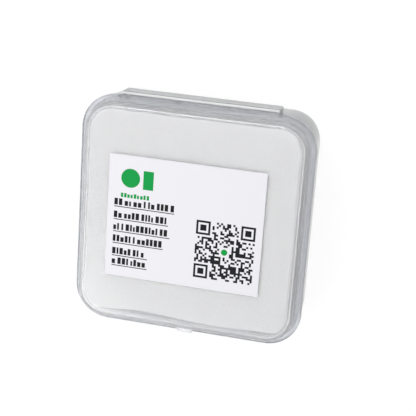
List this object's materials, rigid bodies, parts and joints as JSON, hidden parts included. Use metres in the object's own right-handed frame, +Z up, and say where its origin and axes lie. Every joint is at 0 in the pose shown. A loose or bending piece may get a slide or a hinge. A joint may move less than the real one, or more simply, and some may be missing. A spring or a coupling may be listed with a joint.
{
  "type": "boxed laser protective lens",
  "caption": "Round protective window for a laser head, bedded in foam in a frosted square case with a hinged lid, front latch and paper label.",
  "frame": {"origin": "centre of the case's underside", "axes": "+Z up through the lid's labelled face, +Y from the latch to the hinge, +X to the right of the label"},
  "size_m": [0.0744, 0.077, 0.0225],
  "materials": {
    "frosted_polypropylene": "satin",
    "label_paper": "matte",
    "fused_silica": "polished",
    "white_foam": "matte"
  },
  "bodies": {
    "base": {"case_base": "frosted_polypropylene", "living_hinge": "frosted_polypropylene", "foam_nest": "white_foam", "lens": "fused_silica"},
    "lid": {"case_lid": "frosted_polypropylene", "label": "label_paper", "lid_pad": "white_foam"}
  },
  "joints": [
    {"name": "lid_hinge", "type": "hinge", "parent": "base", "child": "lid", "pos_m": [0, 0.038, 0.01723], "axis": [-1, 0, 0], "range_deg": [0, 180]}
  ]
}
